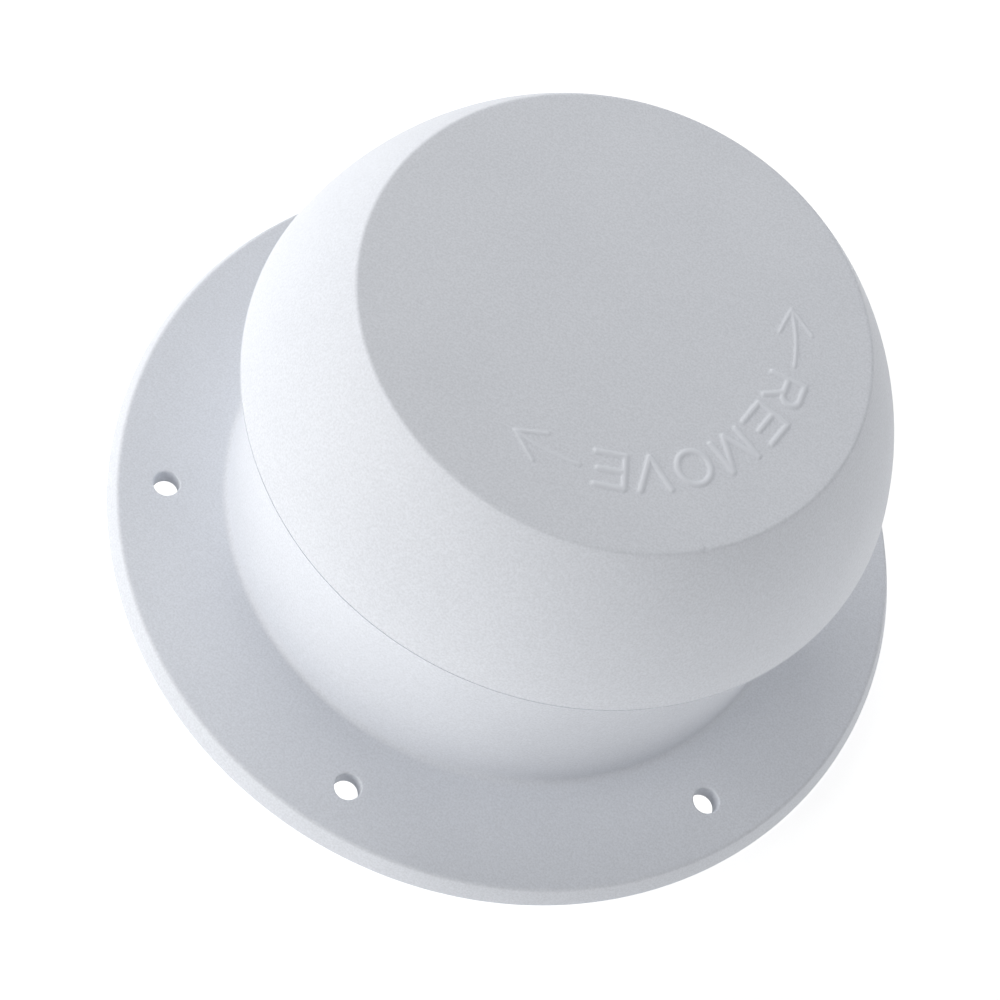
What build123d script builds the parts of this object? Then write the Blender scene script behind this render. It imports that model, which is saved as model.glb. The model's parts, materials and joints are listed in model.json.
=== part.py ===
from build123d import *
import os
from math import hypot, radians, sqrt, tan

# Round roof vent for a plumbing pipe. A flat flange is screwed to the roof over the pipe, and a
# collar stands up from it. A twist-off cap stands over the collar on ribs, so that gas rises in
# the collar, passes over its lip and leaves through the ring-shaped gap under the cap's skirt.
# Millimetres, +Z up, with the origin at the middle of the flange's underside.

# Flange
flange_diameter = 178.0
flange_thickness = 4.5
flange_edge_taper = 2.1
flange_edge_round = 1.0
pipe_diameter = 60.3
pipe_clearance = 0.6

# Screw holes, the first one towards the front
screw_hole_count = 6
screw_hole_diameter = 5.6
screw_circle_diameter = 153.0
first_screw_angle = -90.0

# Collar
collar_foot_diameter = 127.0
collar_lip_height = 59.0
collar_draft = 4.0
collar_wall = 2.5
collar_foot_round = 1.5
collar_lip_chamfer = 0.8

# Cap shell, measured from the collar that it stands over
vent_gap = 5.3
skirt_overlap = 5.0
cap_rise = 28.0
cap_wall = 2.2
cap_taper = 17.1
skirt_bulge = 2.1
cap_top_round = 1.0
cap_rim_round = 0.7

# Ribs that hold the cap up and in the middle
rib_count = 6
rib_thickness = 2.4
rib_drop = 3.5
rib_clearance = 0.4

# Twist lock: hooks on the cap turn under ledges in the collar, either way up to a stop
hook_count = 3
first_hook_angle = -30.0
cap_turn = 30.0
hook_span = 20.0
hook_thickness = 3.5
hook_lead_in = 1.5
leg_thickness = 2.5
ledge_reach = 4.5
ledge_thickness = 3.5
stop_reach = 3.5
lock_gap = 0.4
wall_gap = 1.0
release_angle_gap = 2.0
stop_angle_gap = 0.5

flange_radius = flange_diameter / 2
flange_top_radius = flange_radius - flange_edge_taper
pipe_hole_radius = pipe_diameter / 2 + pipe_clearance
collar_foot_radius = collar_foot_diameter / 2


def collar_radius(height):
    """Outer radius of the drafted collar at a height."""
    return collar_foot_radius - (height - flange_thickness) * tan(radians(collar_draft))


lip_radius = collar_radius(collar_lip_height)
lip_inner_radius = lip_radius - collar_wall

# The skirt is an arc from the rim to the edge of the flat top, bulging outwards
rim_height = collar_lip_height - skirt_overlap
top_height = collar_lip_height + cap_rise
rim_radius = collar_radius(rim_height) + vent_gap + cap_wall
top_radius = rim_radius - cap_taper
skirt_rise = top_height - rim_height
skirt_chord = hypot(cap_taper, skirt_rise)
skirt_arc_radius = skirt_chord**2 / (8 * skirt_bulge) + skirt_bulge / 2
arc_setback = (skirt_arc_radius - skirt_bulge) / skirt_chord
arc_centre_radius = (rim_radius + top_radius) / 2 - arc_setback * skirt_rise
arc_centre_height = (rim_height + top_height) / 2 - arc_setback * cap_taper


def skirt_radius(depth, height):
    """Radius at a height of the surface that lies a depth inside the skirt's outer face."""
    return arc_centre_radius + sqrt((skirt_arc_radius - depth) ** 2 - (height - arc_centre_height) ** 2)


def skirt_height(depth, radius):
    """Height at a radius of the surface that lies a depth inside the skirt's outer face."""
    return arc_centre_height + sqrt((skirt_arc_radius - depth) ** 2 - (radius - arc_centre_radius) ** 2)


def leg_top(radius):
    """Height in the middle of the cap's shell, top or skirt, over a radius."""
    return min(top_height - cap_wall / 2, skirt_height(cap_wall / 2, radius))


def skirt_arc(depth, low, high):
    """Arc of the surface a depth inside the skirt's outer face, from one height to another."""
    middle = (low + high) / 2
    return ThreePointArc(*((skirt_radius(depth, height), height) for height in (low, middle, high)))


def corner(section, radius, height):
    """Corner of a turned section that lies at a radius and a height."""
    return section.vertices().sort_by_distance((radius, height))[0]


def radial_plane(angle):
    """Upright plane through the vent's axis, with its own X pointing outwards at an angle."""
    return Plane.XZ.rotated((0, 0, angle))


# Base: flange and collar turned from one section
with BuildPart() as vent_base:
    with BuildSketch(Plane.XZ) as base_section:
        with BuildLine():
            Polyline(
                (pipe_hole_radius, 0),
                (flange_radius, 0),
                (flange_top_radius, flange_thickness),
                (collar_foot_radius, flange_thickness),
                (lip_radius, collar_lip_height),
                (lip_inner_radius, collar_lip_height),
                (collar_foot_radius - collar_wall, flange_thickness),
                (pipe_hole_radius, flange_thickness),
                close=True,
            )
        make_face()
        fillet(corner(base_section, flange_top_radius, flange_thickness), flange_edge_round)
        fillet(corner(base_section, collar_foot_radius, flange_thickness), collar_foot_round)
        chamfer(corner(base_section, lip_radius, collar_lip_height), collar_lip_chamfer)
    revolve(axis=Axis.Z)

    with Locations((0, 0, flange_thickness)):
        with PolarLocations(screw_circle_diameter / 2, screw_hole_count, start_angle=first_screw_angle):
            Hole(screw_hole_diameter / 2, depth=flange_thickness)

    # Ledges that hold the hooks down, and stops between them that end the turn
    hook_pitch = 360 / hook_count
    ledge_span = 2 * (cap_turn - hook_span / 2 - release_angle_gap)
    stop_span = hook_pitch - 2 * (cap_turn + hook_span / 2 + stop_angle_gap)
    ledge_bottom = collar_lip_height - ledge_thickness
    hook_top = ledge_bottom - lock_gap
    stop_bottom = hook_top - hook_thickness
    wall_middle = lip_radius - collar_wall / 2
    for hook in range(hook_count):
        hook_angle = first_hook_angle + hook * hook_pitch
        with BuildSketch(radial_plane(hook_angle - ledge_span / 2)):
            with BuildLine():
                Polyline(
                    (lip_inner_radius - ledge_reach, ledge_bottom),
                    (wall_middle, ledge_bottom),
                    (wall_middle, collar_lip_height),
                    (lip_inner_radius - ledge_reach, collar_lip_height),
                    close=True,
                )
            make_face()
        revolve(axis=Axis.Z, revolution_arc=ledge_span)
        with BuildSketch(radial_plane(hook_angle + hook_pitch / 2 - stop_span / 2)):
            with BuildLine():
                Polyline(
                    (lip_inner_radius - stop_reach, stop_bottom),
                    (wall_middle, stop_bottom),
                    (wall_middle, collar_lip_height),
                    (lip_inner_radius - stop_reach, collar_lip_height),
                    close=True,
                )
            make_face()
        revolve(axis=Axis.Z, revolution_arc=stop_span)

# Cap: flat top and domed skirt turned from one section, then its ribs and hooks
with BuildPart() as vent_cap:
    ceiling = top_height - cap_wall
    with BuildSketch(Plane.XZ) as cap_section:
        with BuildLine():
            Polyline((0, ceiling), (0, top_height), (top_radius, top_height))
            skirt_arc(0, rim_height, top_height)
            Line((rim_radius, rim_height), (skirt_radius(cap_wall, rim_height), rim_height))
            skirt_arc(cap_wall, rim_height, ceiling)
            Line((skirt_radius(cap_wall, ceiling), ceiling), (0, ceiling))
        make_face()
        fillet(corner(cap_section, top_radius, top_height), cap_top_round)
        fillet(corner(cap_section, rim_radius, rim_height), cap_rim_round)
    revolve(axis=Axis.Z)

    # Each rib sits on the lip and reaches down outside it, and ends inside the skirt's wall
    shell_middle = cap_wall / 2
    rib_bottom = collar_lip_height - rib_drop
    rib_step_radius = collar_radius(rib_bottom) + rib_clearance
    rib_top = skirt_height(shell_middle, lip_inner_radius)
    for rib in range(rib_count):
        with BuildSketch(radial_plane(rib * 360 / rib_count)):
            with BuildLine():
                Polyline(
                    (lip_inner_radius, rib_top),
                    (lip_inner_radius, collar_lip_height),
                    (rib_step_radius, collar_lip_height),
                    (rib_step_radius, rib_bottom),
                    (skirt_radius(shell_middle, rib_bottom), rib_bottom),
                )
                skirt_arc(shell_middle, rib_bottom, rib_top)
            make_face()
        extrude(amount=rib_thickness / 2, both=True)

    # Each hook hangs on a curved leg inside the collar and reaches out under its ledge
    leg_radius = lip_inner_radius - ledge_reach - wall_gap
    leg_inner_radius = leg_radius - leg_thickness
    hook_radius = lip_inner_radius - wall_gap
    hook_bottom = hook_top - hook_thickness
    for hook in range(hook_count):
        with BuildSketch(radial_plane(first_hook_angle + hook * hook_pitch - hook_span / 2)):
            with BuildLine():
                Polyline(
                    (leg_inner_radius, leg_top(leg_inner_radius)),
                    (leg_inner_radius, hook_bottom),
                    (hook_radius - hook_lead_in, hook_bottom),
                    (hook_radius, hook_bottom + hook_lead_in),
                    (hook_radius, hook_top),
                    (leg_radius, hook_top),
                    (leg_radius, leg_top(leg_radius)),
                    close=True,
                )
            make_face()
        revolve(axis=Axis.Z, revolution_arc=hook_span)

os.makedirs("parts", exist_ok=True)
vent_base.part.label = "vent_base"
export_step(vent_base.part, "parts/vent_base.step")
vent_cap.part.label = "vent_cap"
export_step(vent_cap.part, "parts/vent_cap.step")
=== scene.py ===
import json
from math import cos, hypot, pi, radians, sin, tan

import bmesh
import bpy
import numpy as np
from mathutils import Matrix, Vector


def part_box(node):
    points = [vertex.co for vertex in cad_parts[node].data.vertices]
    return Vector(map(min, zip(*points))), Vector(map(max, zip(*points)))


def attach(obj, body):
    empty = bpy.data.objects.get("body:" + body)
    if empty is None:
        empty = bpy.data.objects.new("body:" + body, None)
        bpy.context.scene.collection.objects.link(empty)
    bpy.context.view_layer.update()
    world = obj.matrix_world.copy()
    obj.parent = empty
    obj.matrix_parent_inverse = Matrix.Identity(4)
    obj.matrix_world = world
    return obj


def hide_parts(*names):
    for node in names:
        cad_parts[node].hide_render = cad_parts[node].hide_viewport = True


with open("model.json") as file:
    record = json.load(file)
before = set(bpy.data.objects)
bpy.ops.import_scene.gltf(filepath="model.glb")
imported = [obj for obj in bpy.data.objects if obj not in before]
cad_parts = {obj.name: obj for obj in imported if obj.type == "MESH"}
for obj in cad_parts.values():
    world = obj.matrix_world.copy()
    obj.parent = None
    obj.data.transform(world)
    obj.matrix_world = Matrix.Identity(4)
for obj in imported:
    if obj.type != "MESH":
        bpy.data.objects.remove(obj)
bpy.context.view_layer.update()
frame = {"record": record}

# Looks of a round white roof vent: a moulded screw flange with its collar, and a moulded twist-off
# cap with a raised legend. Metres, +Z up, with the origin at the middle of the flange's underside.

base_low, base_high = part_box("vent_base")
_, cap_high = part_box("vent_cap")
mounts = {mount["name"]: mount["dims"] for mount in frame["record"]["mounts"]}
MM = 0.001

# Flange, with the sizes that the frame gives. Its screw holes lie in a band between two radii
FLANGE_RADIUS = (base_high.x - base_low.x) / 2
FLANGE_THICKNESS = mounts["pipe_hole"]["length_mm"] * MM
FLANGE_EDGE_TAPER = 2.1 * MM
FLANGE_TOP_RADIUS = FLANGE_RADIUS - FLANGE_EDGE_TAPER
FLANGE_EDGE_ROUND = 1.0 * MM
FLANGE_FOOT_ROUND = 0.4 * MM
PIPE_HOLE_RADIUS = mounts["pipe_hole"]["r_mm"] * MM
PIPE_HOLE_ROUND = 0.5 * MM
HOLE_COUNT = mounts["screw_holes"]["count"]
HOLE_RADIUS = mounts["screw_holes"]["hole_r_mm"] * MM
HOLE_CIRCLE = mounts["screw_holes"]["pcd_mm"] / 2 * MM
HOLE_EDGE_ROUND = 0.35 * MM
FIRST_HOLE_ANGLE = radians(-90)
HOLE_BAND = (66.0 * MM, 85.6 * MM)

# Collar
LIP_HEIGHT = base_high.z
COLLAR_FOOT_RADIUS = 63.5 * MM
COLLAR_DRAFT = radians(4)
COLLAR_WALL = 2.5 * MM
COLLAR_FOOT_ROUND = 1.5 * MM
COLLAR_LIP_ROUND = 0.7 * MM

# Cap, with a hairline groove just over its rim
TOP_HEIGHT = cap_high.z
SKIRT_OVERLAP = 5.0 * MM
VENT_GAP = 5.3 * MM
CAP_WALL = 2.2 * MM
CAP_TAPER = 17.1 * MM
SKIRT_BULGE = 2.1 * MM
CAP_TOP_ROUND = 1.0 * MM
CAP_RIM_ROUND = 0.3 * MM
SEAM_GROOVE_RISE = 0.45 * MM
SEAM_GROOVE_WIDTH = 0.22 * MM
SEAM_GROOVE_DEPTH = 0.16 * MM

# Small nick in the edge of the cap's top
NICK_RADIUS = 50.3 * MM
NICK_ANGLE = radians(-45.6)
NICK_SIZE = 0.45 * MM
NICK_DEPTH = 0.18 * MM

# Ribs and twist lock inside
RIB_COUNT = 6
RIB_THICKNESS = 2.4 * MM
RIB_DROP = 3.5 * MM
RIB_CLEARANCE = 0.4 * MM
RIB_SEAT_GAP = 0.05 * MM
HOOK_COUNT = 3
FIRST_HOOK_ANGLE = radians(-30)
CAP_TURN = radians(30)
HOOK_SPAN = radians(20)
HOOK_THICKNESS = 3.5 * MM
HOOK_LEAD_IN = 1.5 * MM
LEG_THICKNESS = 2.5 * MM
LEDGE_REACH = 4.5 * MM
LEDGE_THICKNESS = 3.5 * MM
STOP_REACH = 3.5 * MM
LOCK_GAP = 0.4 * MM
WALL_GAP = 1.0 * MM
RELEASE_ANGLE_GAP = radians(2)
STOP_ANGLE_GAP = radians(0.5)

# Raised legend on the cap's top: letters stand round an arc with their tops outwards, each at its
# own angle, and an arrow at each end points away from them. Strokes fall off over a soft edge
LEGEND_RADIUS = 34.2 * MM
LEGEND = (
    ("R", radians(5.5)), ("E", radians(-9.1)), ("M", radians(-24.5)),
    ("O", radians(-40.1)), ("V", radians(-53.9)), ("E", radians(-67.5)),
)
LETTER_HALF_HEIGHT = 3.4 * MM
LETTER_HALF_WIDTH = {"R": 2.8 * MM, "E": 2.8 * MM, "M": 3.2 * MM, "O": 3.2 * MM, "V": 3.0 * MM}
LETTER_STROKE = 1.12 * MM
LETTER_RELIEF = 0.24 * MM
ARROW_RADIUS = 34.8 * MM
ARROW_STROKE = 0.75 * MM
ARROW_RELIEF = 0.17 * MM
ARROW_ENDS = ((radians(15.4), radians(36.8)), (radians(-77.0), radians(-98.7)))
BARB_BACK = radians(9)
BARB_SPREAD = 3.3 * MM
STROKE_EDGE_REACH = 0.18 * MM
STROKE_EDGE_RUN = 0.5 * MM
LEGEND_SPAN = (radians(-106), radians(44))
LEGEND_BAND = (28.4 * MM, 40.4 * MM)
FLAT_TOLERANCE = 0.0001 * MM

# Steps of the meshes: in the flange's sectors, along the sections, in the blocks, plates and strokes,
# and on the cap round the axis and across its flat top, both close together at the legend
SECTOR_STEPS = 60
SIDE_STEPS = 12
RAY_STEPS = 8
HOLE_ROUND_STEPS = 5
ROUND_STEPS = 6
FLANGE_ROUND_STEPS = 10
COLLAR_STEPS = 13
SKIRT_OUTSIDE_STEPS = 26
SKIRT_INSIDE_STEPS = 18
CEILING_RING_RADIUS = 30.0 * MM
BLOCK_STEPS = 24
RIB_UPPER_STEPS = 11
RIB_TAIL_STEPS = 3
BOWL_STEPS = 10
OVAL_STEPS = 32
ARROW_STEPS = 12
LEGEND_ANGLE_STEPS = 380
OTHER_ANGLE_STEPS = 175
MIDDLE_RING_STEPS = 8
LEGEND_RING_STEPS = 53
EDGE_RING_STEPS = 4
MERGE_DISTANCE = 0.002 * MM
SHARP_ANGLE = radians(40)

# White plastic: a fine grain over faint clouds of two tints, in tone, roughness and bump
GRAIN_SCALE = 2400.0
GRAIN_DETAIL = 2.0
CLOUD_SCALE = 45.0
CLOUD_DETAIL = 3.0
NOISE_RANGE = (0.3, 0.7)
DEEP_TINT = (0.827, 0.854, 0.911, 1)
PALE_TINT = (0.851, 0.878, 0.935, 1)
GRAIN_TONE = (0.89, 1.02)
# Painted highlight: over these heights above the cap's flat top the grain's darkening of the colour fades
# out, so the raised strokes' tops are painted lighter
GRAIN_FADE_PAINTED_HIGHLIGHT = (TOP_HEIGHT + 0.2 * ARROW_RELIEF, TOP_HEIGHT + 0.8 * ARROW_RELIEF)
PLASTIC_ROUGHNESS = (0.50, 0.64)
PLASTIC_SPECULAR = 0.35
GRAIN_BUMP = 0.25
GRAIN_DEPTH = 0.05 * MM

# Floor and lights, each light with its azimuth, elevation, power and colour
FLOOR_RADIUS = 4.0
FLOOR_DISC_RADIUS = 84.0 * MM
FLOOR_HEIGHT = -0.1 * MM
FLOOR_STEPS = 120
FLOOR_COLOUR = (0.8, 0.8, 0.8, 1)
FLOOR_ROUGHNESS = 0.9
FLOOR_GLOW = 0.6
FLOOR_DISC_GLOW = 1.0
SKY_STRENGTH = 0.249
LIGHT_DISTANCE = 0.9
LIGHT_SIZE = 0.6
SOFT_LIGHTS = (
    ("key_light", radians(-135), radians(8), 5.2, (1, 0.99, 0.97)),
    ("back_light", radians(135), radians(30), 3.29, (1, 1, 1)),
    ("high_light", radians(0), radians(60), 1.43, (1, 1, 1)),
)

# Camera of the photograph, found from the outlines of the flange, cap, seam and screw holes
CAMERA_PLACE = Vector((10.3 * MM, -244.1 * MM, 421.2 * MM))
CAMERA_RIGHT = Vector((0.8628, 0.4486, 0.2331))
CAMERA_UP = Vector((-0.5046, 0.7377, 0.4486))
CAMERA_LENS = 78.88
CAMERA_NEAR = 10.0 * MM
SENSOR_WIDTH = 36.0


def collar_radius(height):
    """Outer radius of the collar: the foot's radius less the height above the flange times the draft."""
    return COLLAR_FOOT_RADIUS - (height - FLANGE_THICKNESS) * tan(COLLAR_DRAFT)


LIP_RADIUS = collar_radius(LIP_HEIGHT)
LIP_INNER_RADIUS = LIP_RADIUS - COLLAR_WALL

# The skirt's section is an arc, from the rim to the edge of the flat top
RIM_HEIGHT = LIP_HEIGHT - SKIRT_OVERLAP
RIM_RADIUS = collar_radius(RIM_HEIGHT) + VENT_GAP + CAP_WALL
TOP_RADIUS = RIM_RADIUS - CAP_TAPER
SKIRT_RISE = TOP_HEIGHT - RIM_HEIGHT
SKIRT_CHORD = hypot(CAP_TAPER, SKIRT_RISE)
ARC_RADIUS = SKIRT_CHORD**2 / (8 * SKIRT_BULGE) + SKIRT_BULGE / 2
ARC_SETBACK = (ARC_RADIUS - SKIRT_BULGE) / SKIRT_CHORD
ARC_CENTRE_RADIUS = (RIM_RADIUS + TOP_RADIUS) / 2 - ARC_SETBACK * SKIRT_RISE
ARC_CENTRE_HEIGHT = (RIM_HEIGHT + TOP_HEIGHT) / 2 - ARC_SETBACK * CAP_TAPER


def skirt_radius(depth, height):
    """Radius of the skirt's arc, moved in by a depth, at a height: the arc's centre plus the run that
    its radius leaves after the rise."""
    return ARC_CENTRE_RADIUS + np.sqrt((ARC_RADIUS - depth) ** 2 - (height - ARC_CENTRE_HEIGHT) ** 2)


def skirt_height(depth, radius):
    """Height of the skirt's arc, moved in by a depth, at a radius: the arc's centre plus the rise that
    its radius leaves after the run."""
    return ARC_CENTRE_HEIGHT + np.sqrt((ARC_RADIUS - depth) ** 2 - (radius - ARC_CENTRE_RADIUS) ** 2)


def shell_height(radius):
    """Height in the middle of the cap's wall over a radius: the top's or the skirt's, whichever is lower."""
    return min(TOP_HEIGHT - CAP_WALL / 2, skirt_height(CAP_WALL / 2, radius))


# Sections, grids and meshes


def sharp(radius, height):
    """Section points without a round, from arrays of radii and heights."""
    return [(r, z, 0) for r, z in zip(radius, height)]


def skirt_points(depth, low, high, steps):
    """Section points of the skirt's arc, moved in by a depth, between two heights and without the ends."""
    height = np.linspace(low, high, steps + 1)[1:-1]
    return sharp(skirt_radius(depth, height), height)


def rounded(corners, steps=ROUND_STEPS):
    """Section from corners given as radius, height and round: a corner with a round is replaced by an arc
    that touches both sides, each end the round times the tangent of half the turn from the corner."""
    corners = np.array(corners, float)
    places, rounds = corners[:, :2], corners[:, 2]
    before, after = np.roll(places, 1, axis=0), np.roll(places, -1, axis=0)
    share = np.linspace(0, 1, steps + 1)[:, None]
    points = []
    for corner, size, back, ahead in zip(places, rounds, before - places, after - places):
        if size == 0:
            points.append(corner)
            continue
        back = back / np.linalg.norm(back)
        ahead = ahead / np.linalg.norm(ahead)
        half_gap = np.arccos(np.clip(back @ ahead, -1, 1)) / 2
        middle = (back + ahead) / np.linalg.norm(back + ahead)
        centre = corner + middle * size / np.sin(half_gap)
        reach = size / np.tan(half_gap)
        start = corner + back * reach - centre
        end = corner + ahead * reach - centre
        turn = pi - 2 * half_gap
        arc = (np.sin((1 - share) * turn) * start + np.sin(share * turn) * end) / np.sin(turn)
        points.extend(centre + arc)
    return np.array(points)


def around(radius, angle):
    """Flat points at a radius from the axis and an angle round it."""
    return np.stack((radius * np.cos(angle), radius * np.sin(angle)), axis=-1)


def evenly_round(count, first=0.0):
    """Angles of equal features, evenly round the axis from the first one on."""
    return first + np.arange(count) * 2 * pi / count


def lifted(flat, height):
    """Flat points of a grid lifted to a height, which may differ from row to row."""
    level = np.broadcast_to(height, flat.shape[:-1])
    return np.concatenate((flat, level[..., None]), axis=-1)


def turned(section, angles):
    """Grid of a section turned about the axis: each point keeps its height, and goes round the axis at
    its radius. The result has one row for each angle."""
    return lifted(around(section[:, 0], angles[:, None]), section[:, 1])


def grid_faces(rows, columns):
    """Four-cornered faces of a grid of points, numbered row by row."""
    index = np.arange(rows * columns).reshape(rows, columns)
    corners = (index[:-1, :-1], index[1:, :-1], index[1:, 1:], index[:-1, 1:])
    return np.stack(corners, axis=-1).reshape(-1, 4)


def moulded(name, grids):
    """One mesh object from several grids of points: doubled points are merged, which closes seams and
    poles, and then the faces of each closed shell are turned outwards."""
    points, faces, count = [], [], 0
    for grid in grids:
        rows, columns = grid.shape[:2]
        points.append(grid.reshape(-1, 3))
        faces.append(grid_faces(rows, columns) + count)
        count += rows * columns
    mesh = bpy.data.meshes.new(name)
    mesh.from_pydata(np.concatenate(points), [], np.concatenate(faces).tolist())
    shell = bmesh.new()
    shell.from_mesh(mesh)
    bmesh.ops.remove_doubles(shell, verts=shell.verts, dist=MERGE_DISTANCE)
    bmesh.ops.recalc_face_normals(shell, faces=shell.faces)
    shell.to_mesh(mesh)
    shell.free()
    mesh.shade_smooth()
    mesh.set_sharp_from_angle(angle=SHARP_ANGLE)
    piece = bpy.data.objects.new(name, mesh)
    bpy.context.scene.collection.objects.link(piece)
    return piece


def arc_block(section, middle_angle, span):
    """Closed block of a convex section turned through part of a circle. Its ends are fans of faces
    from the section's middle point."""
    section = np.array(section)
    angles = middle_angle + np.linspace(-span / 2, span / 2, BLOCK_STEPS + 1)
    closed = np.vstack((section, section[:1]))
    sides = turned(closed, angles)
    hub = turned(np.repeat(section.mean(axis=0)[None], len(closed), axis=0), angles)
    return [sides, np.stack((hub[0], sides[0])), np.stack((hub[-1], sides[-1]))]


def radial_plate(section, angle, thickness):
    """Closed flat plate in an upright plane through the axis: a section moved half a thickness to each
    side, with its two faces as fans from the section's middle point."""
    outward = np.array([cos(angle), sin(angle), 0])
    aside = np.array([-sin(angle), cos(angle), 0]) * thickness / 2
    closed = np.vstack((section, section[:1]))
    flat = closed[:, :1] * outward + closed[:, 1:] * np.array([0, 0, 1.0])
    hub = np.broadcast_to(flat[:-1].mean(axis=0), flat.shape)
    near, far = flat - aside, flat + aside
    return [np.stack((near, far)), np.stack((hub - aside, near)), np.stack((hub + aside, far))]


# Moulded base


def base_strips():
    """Turned strips of the base: the flange's edge outside the band of holes, and inside it the collar,
    whose wall leans inwards by its draft, with the flange's floor round the pipe hole."""
    band_inner, band_outer = HOLE_BAND
    angles = np.linspace(0, 2 * pi, HOLE_COUNT * SECTOR_STEPS + 1)
    flange_edge = [
        (band_outer, 0, 0),
        (FLANGE_RADIUS, 0, FLANGE_FOOT_ROUND),
        (FLANGE_TOP_RADIUS, FLANGE_THICKNESS, FLANGE_EDGE_ROUND),
        (band_outer, FLANGE_THICKNESS, 0),
    ]
    rise = np.linspace(FLANGE_THICKNESS, LIP_HEIGHT, COLLAR_STEPS + 1)[1:-1]
    fall = rise[::-1]
    collar = [
        (band_inner, FLANGE_THICKNESS, 0),
        (COLLAR_FOOT_RADIUS, FLANGE_THICKNESS, COLLAR_FOOT_ROUND),
        *sharp(collar_radius(rise), rise),
        (LIP_RADIUS, LIP_HEIGHT, COLLAR_LIP_ROUND),
        (LIP_INNER_RADIUS, LIP_HEIGHT, 0),
        *sharp(collar_radius(fall) - COLLAR_WALL, fall),
        (COLLAR_FOOT_RADIUS - COLLAR_WALL, FLANGE_THICKNESS, COLLAR_FOOT_ROUND / 2),
        (PIPE_HOLE_RADIUS, FLANGE_THICKNESS, PIPE_HOLE_ROUND),
        (PIPE_HOLE_RADIUS, 0, 0),
        (band_inner, 0, 0),
    ]
    return [turned(rounded(flange_edge, FLANGE_ROUND_STEPS), angles), turned(rounded(collar), angles)]


def hole_patch(angle, height, edge_radius):
    """One flat sector of the flange with a round hole: straight rays run from the hole's edge to the
    sector's border, and the border has the same points as the turned strips beside it."""
    half = pi / HOLE_COUNT
    inner, outer = HOLE_BAND
    sweep = angle + np.linspace(-half, half, SECTOR_STEPS + 1)
    run = np.linspace(outer, inner, SIDE_STEPS + 1)
    border_radius = np.concatenate(
        (np.full(SECTOR_STEPS, outer), run[:-1], np.full(SECTOR_STEPS, inner), run[:0:-1])
    )
    border_angle = np.concatenate(
        (sweep[:-1], np.full(SIDE_STEPS, sweep[-1]), sweep[:0:-1], np.full(SIDE_STEPS, sweep[0]))
    )
    border = around(border_radius, border_angle)
    border = np.vstack((border, border[:1]))
    centre = around(HOLE_CIRCLE, angle)
    ray = border - centre
    edge = centre + edge_radius * ray / np.linalg.norm(ray, axis=1, keepdims=True)
    share = (np.linspace(0, 1, RAY_STEPS + 1) ** 2)[:, None, None]
    return lifted(edge * (1 - share) + border * share, height)


def hole_wall(top_patch, angle):
    """Wall of a screw hole: the edge of the top's flat sector goes round a small arc into the straight
    bore, which ends at the underside."""
    centre = around(HOLE_CIRCLE, angle)
    edge = top_patch[0, :, :2] - centre
    ray = edge / np.linalg.norm(edge, axis=1, keepdims=True)
    bend = np.linspace(0, pi / 2, HOLE_ROUND_STEPS + 1)
    radius = np.append(HOLE_RADIUS + HOLE_EDGE_ROUND * (1 - np.sin(bend)), HOLE_RADIUS)
    height = np.append(FLANGE_THICKNESS - HOLE_EDGE_ROUND * (1 - np.cos(bend)), 0.0)
    return lifted(centre + radius[:, None, None] * ray, height[:, None])


def screw_sectors():
    """Flat sectors on both faces of the flange, and between them the walls of the screw holes."""
    grids = []
    for angle in evenly_round(HOLE_COUNT, FIRST_HOLE_ANGLE):
        top_patch = hole_patch(angle, FLANGE_THICKNESS, HOLE_RADIUS + HOLE_EDGE_ROUND)
        bottom_patch = hole_patch(angle, 0.0, HOLE_RADIUS)
        grids += [top_patch, bottom_patch, hole_wall(top_patch, angle)]
    return grids


def lock_ledges():
    """Ledges over the hooks and stops between them: blocks that reach inwards from the middle of the
    collar's wall, each turned through its own part of a circle."""
    ledge_bottom = LIP_HEIGHT - LEDGE_THICKNESS
    stop_bottom = ledge_bottom - LOCK_GAP - HOOK_THICKNESS
    wall_middle = LIP_RADIUS - COLLAR_WALL / 2
    pitch = 2 * pi / HOOK_COUNT
    ledge_span = 2 * (CAP_TURN - HOOK_SPAN / 2 - RELEASE_ANGLE_GAP)
    stop_span = pitch - 2 * (CAP_TURN + HOOK_SPAN / 2 + STOP_ANGLE_GAP)
    grids = []
    for angle in evenly_round(HOOK_COUNT, FIRST_HOOK_ANGLE):
        for reach, bottom, middle, span in (
            (LEDGE_REACH, ledge_bottom, angle, ledge_span),
            (STOP_REACH, stop_bottom, angle + pitch / 2, stop_span),
        ):
            inner = LIP_INNER_RADIUS - reach
            section = [(inner, bottom), (wall_middle, bottom), (wall_middle, LIP_HEIGHT), (inner, LIP_HEIGHT)]
            grids += arc_block(section, middle, span)
    return grids


def moulded_base():
    """Flange and collar from turned strips and flat sectors, with the lock's ledges and stops."""
    return moulded("moulded_base", base_strips() + screw_sectors() + lock_ledges())


# Moulded cap with its raised legend


def bowed(centre, half_size, start, end, steps):
    """Points of an arc of an ellipse: the centre plus the half sizes times the cosine and sine of an
    angle that runs evenly from the start to the end, given in degrees."""
    turn = np.linspace(radians(start), radians(end), steps + 1)
    x = centre[0] + half_size[0] * np.cos(turn)
    y = centre[1] + half_size[1] * np.sin(turn)
    return np.stack((x, y), axis=-1)


def letter_strokes():
    """Strokes of each plain letter as lists of points, in a box from -1 to 1 each way."""
    return {
        "R": [
            [(-1, -1), (-1, 1), (0.35, 1)],
            bowed((0.35, 0.5), (0.6, 0.5), 90, -90, BOWL_STEPS),
            [(0.35, 0), (-1, 0)],
            [(0.15, 0), (1, -1)],
        ],
        "E": [[(1, 1), (-1, 1), (-1, -1), (1, -1)], [(-1, 0), (0.8, 0)]],
        "M": [[(-1, -1), (-1, 1), (0, -1), (1, 1), (1, -1)]],
        "O": [bowed((0, 0), (1, 1), 0, 360, OVAL_STEPS)],
        "V": [[(-1, 1), (0, -1), (1, 1)]],
    }


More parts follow.
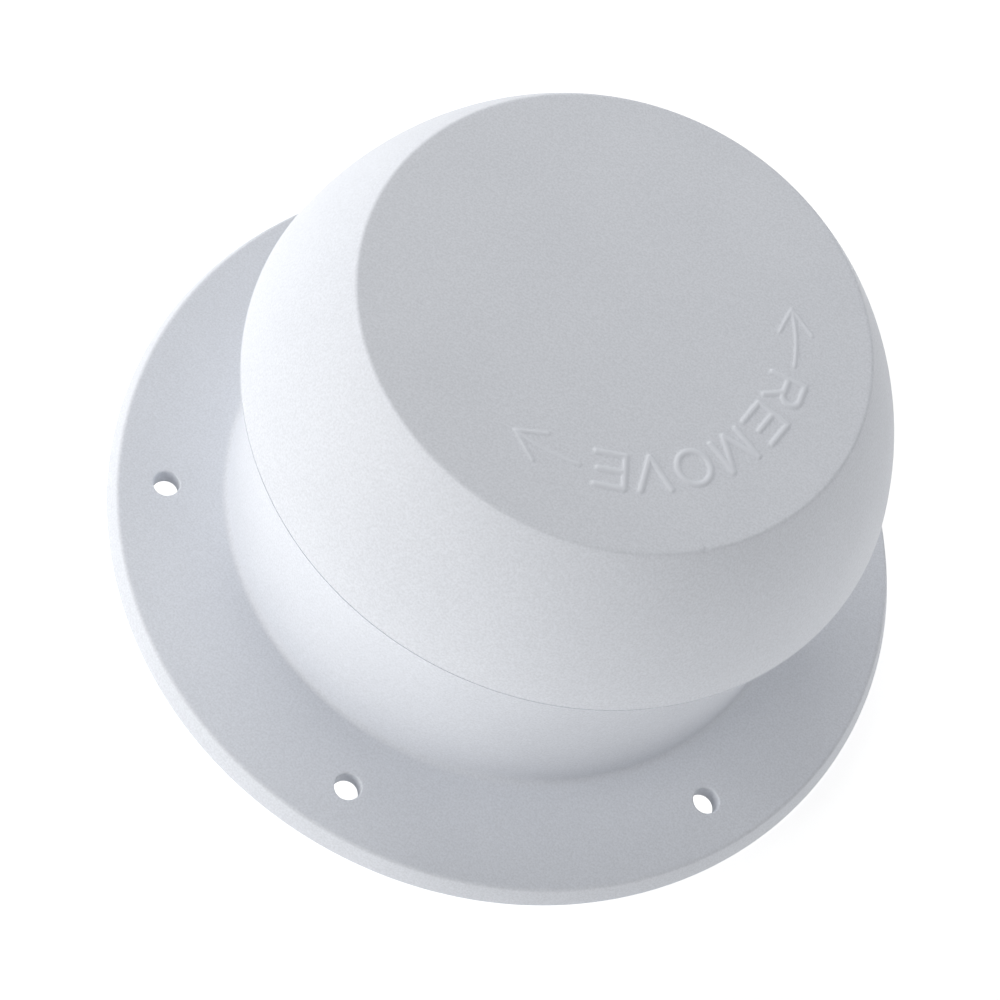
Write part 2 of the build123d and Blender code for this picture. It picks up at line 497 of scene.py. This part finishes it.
def on_cap(points, angle):
    """Places flat points on the cap's top: X runs clockwise along the legend's arc, Y outwards from it."""
    outward = np.array([cos(angle), sin(angle)])
    along = np.array([sin(angle), -cos(angle)])
    return points[:, :1] * along + (points[:, 1:] + LEGEND_RADIUS) * outward


def legs(path):
    """Pairs of neighbouring points of a path, as the start and end of each straight leg."""
    return np.stack((path[:-1], path[1:]), axis=1)


def legend_legs():
    """Straight legs of all letters, and of both arrows, which lie on an arc and point away from the word."""
    letters, arrows = [], []
    shapes = letter_strokes()
    for letter, angle in LEGEND:
        for stroke in shapes[letter]:
            sized = np.array(stroke, float) * (LETTER_HALF_WIDTH[letter], LETTER_HALF_HEIGHT)
            letters.append(legs(on_cap(sized, angle)))
    for tail, tip in ARROW_ENDS:
        back = tip - np.sign(tip - tail) * BARB_BACK
        shaft = around(ARROW_RADIUS, np.linspace(tail, tip, ARROW_STEPS + 1))
        barbs = around(ARROW_RADIUS + BARB_SPREAD * np.array([-1, 0, 1]), np.array([back, tip, back]))
        arrows += [legs(shaft), legs(barbs)]
    return np.concatenate(letters), np.concatenate(arrows)


def leg_distance(points, leg_ends):
    """Shortest distance from each point to any of the straight legs: to the nearest spot on each leg,
    whose share of the leg's run is kept between its two ends."""
    start = leg_ends[:, 0]
    run = leg_ends[:, 1] - start
    offset = points[:, None, :] - start
    share = np.clip((offset * run).sum(-1) / (run * run).sum(-1), 0, 1)
    return np.linalg.norm(offset - share[..., None] * run, axis=-1).min(axis=1)


def stroke_relief(distance, stroke, relief):
    """Height of a raised stroke: full near its middle line, with a smooth fall to nothing at its edge."""
    share = np.clip((stroke / 2 + STROKE_EDGE_REACH - distance) / STROKE_EDGE_RUN, 0, 1)
    return relief * share * share * (3 - 2 * share)


def legend_relief(spots):
    """Height of the raised legend over flat spots: the higher one of the letters and the arrows."""
    letters, arrows = legend_legs()
    letter_height = stroke_relief(leg_distance(spots, letters), LETTER_STROKE, LETTER_RELIEF)
    arrow_height = stroke_relief(leg_distance(spots, arrows), ARROW_STROKE, ARROW_RELIEF)
    return np.maximum(letter_height, arrow_height)


def cap_angles():
    """Angles of the cap's grid, close together round the legend and wider apart elsewhere."""
    low, high = LEGEND_SPAN
    fine = np.linspace(low, high, LEGEND_ANGLE_STEPS + 1)
    wide = np.linspace(high, low + 2 * pi, OTHER_ANGLE_STEPS + 1)
    return np.concatenate((fine[:-1], wide))


def cap_top_radii():
    """Radii of the rings of the cap's flat top from its edge inwards, close together in the legend's band."""
    inner, outer = LEGEND_BAND
    middle_rings = np.linspace(0.0, inner, MIDDLE_RING_STEPS + 1)[1:]
    legend_rings = np.linspace(inner, outer, LEGEND_RING_STEPS + 1)[1:]
    edge_rings = np.linspace(outer, TOP_RADIUS - CAP_TOP_ROUND, EDGE_RING_STEPS + 1)[1:]
    return np.concatenate((middle_rings, legend_rings, edge_rings))[::-1]


def cap_section():
    """Section of the cap, from the middle of its ceiling down the inside of the skirt, round the rim, up
    the outside past the hairline groove and over the flat top to the axis."""
    ceiling = TOP_HEIGHT - CAP_WALL
    groove_low = RIM_HEIGHT + SEAM_GROOVE_RISE
    groove_high = groove_low + SEAM_GROOVE_WIDTH
    groove_depth = np.array([0, SEAM_GROOVE_DEPTH, SEAM_GROOVE_DEPTH, 0])
    groove_height = np.array([groove_low, groove_low, groove_high, groove_high])
    top_radii = cap_top_radii()
    corners = [
        (0, ceiling, 0),
        (CEILING_RING_RADIUS, ceiling, 0),
        (skirt_radius(CAP_WALL, ceiling), ceiling, 0),
        *skirt_points(CAP_WALL, RIM_HEIGHT, ceiling, SKIRT_INSIDE_STEPS)[::-1],
        (skirt_radius(CAP_WALL, RIM_HEIGHT), RIM_HEIGHT, CAP_RIM_ROUND / 2),
        (RIM_RADIUS, RIM_HEIGHT, CAP_RIM_ROUND),
        *sharp(skirt_radius(groove_depth, groove_height), groove_height),
        *skirt_points(0, groove_high, TOP_HEIGHT, SKIRT_OUTSIDE_STEPS),
        (TOP_RADIUS, TOP_HEIGHT, CAP_TOP_ROUND),
        *sharp(top_radii, np.full(len(top_radii), TOP_HEIGHT)),
        (0, TOP_HEIGHT, 0),
    ]
    return rounded(corners)


def cap_shell():
    """The cap's section turned about the axis, raised by the legend's height on its flat top, and pressed
    in at the nick, where the depth falls off as a bell curve of the distance."""
    shell = turned(cap_section(), cap_angles())
    radius = np.hypot(shell[..., 0], shell[..., 1])
    inner, outer = LEGEND_BAND
    raised = (shell[..., 2] > TOP_HEIGHT - FLAT_TOLERANCE) & (radius >= inner) & (radius <= outer)
    shell[raised, 2] += legend_relief(shell[raised][:, :2])
    nick = np.append(around(NICK_RADIUS, NICK_ANGLE), TOP_HEIGHT)
    share = np.exp(-(((shell - nick) ** 2).sum(-1)) / NICK_SIZE**2)
    inwards = -np.append(around(1.0, NICK_ANGLE), 1.0)
    return shell + NICK_DEPTH * share[..., None] * inwards


def cap_ribs():
    """Ribs inside the skirt, as plates in upright planes through the axis: an upper plate over the lip
    and a tail outside it, both ending in the middle of the skirt's wall."""
    middle = CAP_WALL / 2
    seat = LIP_HEIGHT + RIB_SEAT_GAP
    bottom = LIP_HEIGHT - RIB_DROP
    step = collar_radius(bottom) + RIB_CLEARANCE
    upper = np.linspace(seat, skirt_height(middle, LIP_INNER_RADIUS), RIB_UPPER_STEPS + 1)
    tail = np.linspace(bottom, seat, RIB_TAIL_STEPS + 1)
    upper_wall = np.stack((skirt_radius(middle, upper), upper), axis=-1)
    tail_wall = np.stack((skirt_radius(middle, tail), tail), axis=-1)
    upper_plate = np.vstack(([(LIP_INNER_RADIUS, seat)], upper_wall))
    tail_plate = np.vstack(([(step, seat), (step, bottom)], tail_wall))
    grids = []
    for angle in evenly_round(RIB_COUNT):
        grids += radial_plate(upper_plate, angle, RIB_THICKNESS)
        grids += radial_plate(tail_plate, angle, RIB_THICKNESS)
    return grids


def cap_hooks():
    """Hooks of the twist lock: a curved leg that hangs from the middle of the cap's wall, and a foot that
    reaches outwards under the ledge and has a sloped lead-in, both turned through the hook's span."""
    leg_radius = LIP_INNER_RADIUS - LEDGE_REACH - WALL_GAP
    leg_inner = leg_radius - LEG_THICKNESS
    hook_radius = LIP_INNER_RADIUS - WALL_GAP
    hook_top = LIP_HEIGHT - LEDGE_THICKNESS - LOCK_GAP
    hook_bottom = hook_top - HOOK_THICKNESS
    leg = [
        (leg_inner, shell_height(leg_inner)), (leg_inner, hook_top),
        (leg_radius, hook_top), (leg_radius, shell_height(leg_radius)),
    ]
    foot = [
        (leg_inner, hook_top), (leg_inner, hook_bottom), (hook_radius - HOOK_LEAD_IN, hook_bottom),
        (hook_radius, hook_bottom + HOOK_LEAD_IN), (hook_radius, hook_top),
    ]
    grids = []
    for angle in evenly_round(HOOK_COUNT, FIRST_HOOK_ANGLE):
        grids += arc_block(leg, angle, HOOK_SPAN)
        grids += arc_block(foot, angle, HOOK_SPAN)
    return grids


def moulded_cap():
    """Shell with a flat top and a domed skirt, with the ribs and hooks inside it."""
    return moulded("moulded_cap", [cap_shell()] + cap_ribs() + cap_hooks())


# Finish


def white_plastic(name):
    """White moulded plastic with a slight cool tint, a fine matt grain and faint mottling. The grain's
    darkening of the colour fades out just above the cap's flat top, so the raised strokes' tops are painted
    lighter than their ground: a painted highlight."""
    material = bpy.data.materials.new(name)
    material.use_nodes = True
    nodes, links = material.node_tree.nodes, material.node_tree.links
    shader = nodes["Principled BSDF"]
    shader.inputs["Specular IOR Level"].default_value = PLASTIC_SPECULAR
    place = nodes.new("ShaderNodeTexCoord").outputs["Object"]

    def noise(scale, detail):
        """Smooth noise from 0 to 1 over the object's own coordinates."""
        node = nodes.new("ShaderNodeTexNoise")
        node.inputs["Scale"].default_value = scale
        node.inputs["Detail"].default_value = detail
        links.new(place, node.inputs["Vector"])
        return node.outputs["Fac"]

    def carried(value, source, target):
        """Value carried evenly from one range of numbers to another, and held at the ends."""
        node = nodes.new("ShaderNodeMapRange")
        node.inputs["From Min"].default_value, node.inputs["From Max"].default_value = source
        node.inputs["To Min"].default_value, node.inputs["To Max"].default_value = target
        links.new(value, node.inputs["Value"])
        return node.outputs["Result"]

    grain = noise(GRAIN_SCALE, GRAIN_DETAIL)
    cloud = noise(CLOUD_SCALE, CLOUD_DETAIL)

    tint = nodes.new("ShaderNodeValToRGB")
    for stop, position, colour in zip(tint.color_ramp.elements, NOISE_RANGE, (DEEP_TINT, PALE_TINT)):
        stop.position = position
        stop.color = colour
    links.new(cloud, tint.inputs["Fac"])

    height = nodes.new("ShaderNodeSeparateXYZ")
    links.new(place, height.inputs["Vector"])
    speckle_and_painted_highlight = nodes.new("ShaderNodeMixRGB")
    speckle_and_painted_highlight.blend_type = "MULTIPLY"
    # Painted highlight: the grain's darkening fades out above the cap's flat top, which paints the raised
    # strokes' tops lighter
    links.new(carried(height.outputs["Z"], GRAIN_FADE_PAINTED_HIGHLIGHT, (1.0, 0.0)), speckle_and_painted_highlight.inputs["Fac"])
    links.new(tint.outputs["Color"], speckle_and_painted_highlight.inputs["Color1"])
    links.new(carried(grain, NOISE_RANGE, GRAIN_TONE), speckle_and_painted_highlight.inputs["Color2"])
    links.new(speckle_and_painted_highlight.outputs["Color"], shader.inputs["Base Color"])

    links.new(carried(grain, (0.0, 1.0), PLASTIC_ROUGHNESS), shader.inputs["Roughness"])

    bump = nodes.new("ShaderNodeBump")
    bump.inputs["Strength"].default_value = GRAIN_BUMP
    bump.inputs["Distance"].default_value = GRAIN_DEPTH
    links.new(grain, bump.inputs["Height"])
    links.new(bump.outputs["Normal"], shader.inputs["Normal"])
    return material


def glowing_white(name, glow):
    """Matt pale material that is lit from within."""
    material = bpy.data.materials.new(name)
    material.use_nodes = True
    shader = material.node_tree.nodes["Principled BSDF"]
    shader.inputs["Base Color"].default_value = FLOOR_COLOUR
    shader.inputs["Roughness"].default_value = FLOOR_ROUGHNESS
    shader.inputs["Specular IOR Level"].default_value = 0.0
    shader.inputs["Emission Color"].default_value = (1, 1, 1, 1)
    shader.inputs["Emission Strength"].default_value = glow
    return material


def pale_floor():
    """Wide flat floor under the flange, pale and lit from within like a light table: a ring turned about the
    axis, and under the screw holes a disc that shows white through them and casts no light up into them."""
    angles = np.linspace(0, 2 * pi, FLOOR_STEPS + 1)
    for name, inner, outer, glow, casts_light in (
        ("pale_floor", FLOOR_DISC_RADIUS, FLOOR_RADIUS, FLOOR_GLOW, True),
        ("floor_under_holes", 0, FLOOR_DISC_RADIUS, FLOOR_DISC_GLOW, False),
    ):
        section = np.array([(inner, FLOOR_HEIGHT), (outer, FLOOR_HEIGHT)])
        floor = moulded(name, [turned(section, angles)])
        floor.data.materials.append(glowing_white(name, glow))
        floor.visible_diffuse = casts_light


def soft_light(name, azimuth, elevation, power, colour):
    """Square soft light that looks at the middle of the object from an azimuth and an elevation."""
    lamp = bpy.data.lights.new(name, "AREA")
    lamp.shape = "SQUARE"
    lamp.size = LIGHT_SIZE
    lamp.energy = power
    lamp.color = colour
    target = Vector((0, 0, TOP_HEIGHT / 2))
    away = Vector((cos(azimuth) * cos(elevation), sin(azimuth) * cos(elevation), sin(elevation)))
    holder = bpy.data.objects.new(name, lamp)
    holder.location = target + away * LIGHT_DISTANCE
    holder.rotation_euler = away.to_track_quat("Z", "Y").to_euler()
    bpy.context.scene.collection.objects.link(holder)


def studio():
    """Soft light all round, a large and slightly warm key light low on the left, and two weaker lights
    behind and above."""
    world = bpy.data.worlds.new("studio")
    world.use_nodes = True
    sky = world.node_tree.nodes["Background"]
    sky.inputs["Color"].default_value = (1, 1, 1, 1)
    sky.inputs["Strength"].default_value = SKY_STRENGTH
    bpy.context.scene.world = world
    for light in SOFT_LIGHTS:
        soft_light(*light)
    bpy.context.scene.view_settings.view_transform = "Standard"


def photograph_camera():
    """Camera at the photograph's place, with its own right, up and back directions as its axes."""
    lens = bpy.data.cameras.new("photograph_camera")
    lens.lens = CAMERA_LENS
    lens.sensor_width = SENSOR_WIDTH
    lens.clip_start = CAMERA_NEAR
    camera = bpy.data.objects.new("photograph_camera", lens)
    right = CAMERA_RIGHT.normalized()
    back = right.cross(CAMERA_UP).normalized()
    up = back.cross(right)
    turn = Matrix((right, up, back)).transposed()
    camera.matrix_world = Matrix.Translation(CAMERA_PLACE) @ turn.to_4x4()
    bpy.context.scene.collection.objects.link(camera)
    bpy.context.scene.camera = camera


base = moulded_base()
base.data.materials.append(white_plastic("base_white_plastic"))
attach(base, "base")
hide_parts("vent_base")

cap = moulded_cap()
cap.data.materials.append(white_plastic("cap_white_plastic"))
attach(cap, "cap")
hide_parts("vent_cap")

pale_floor()
studio()
photograph_camera()
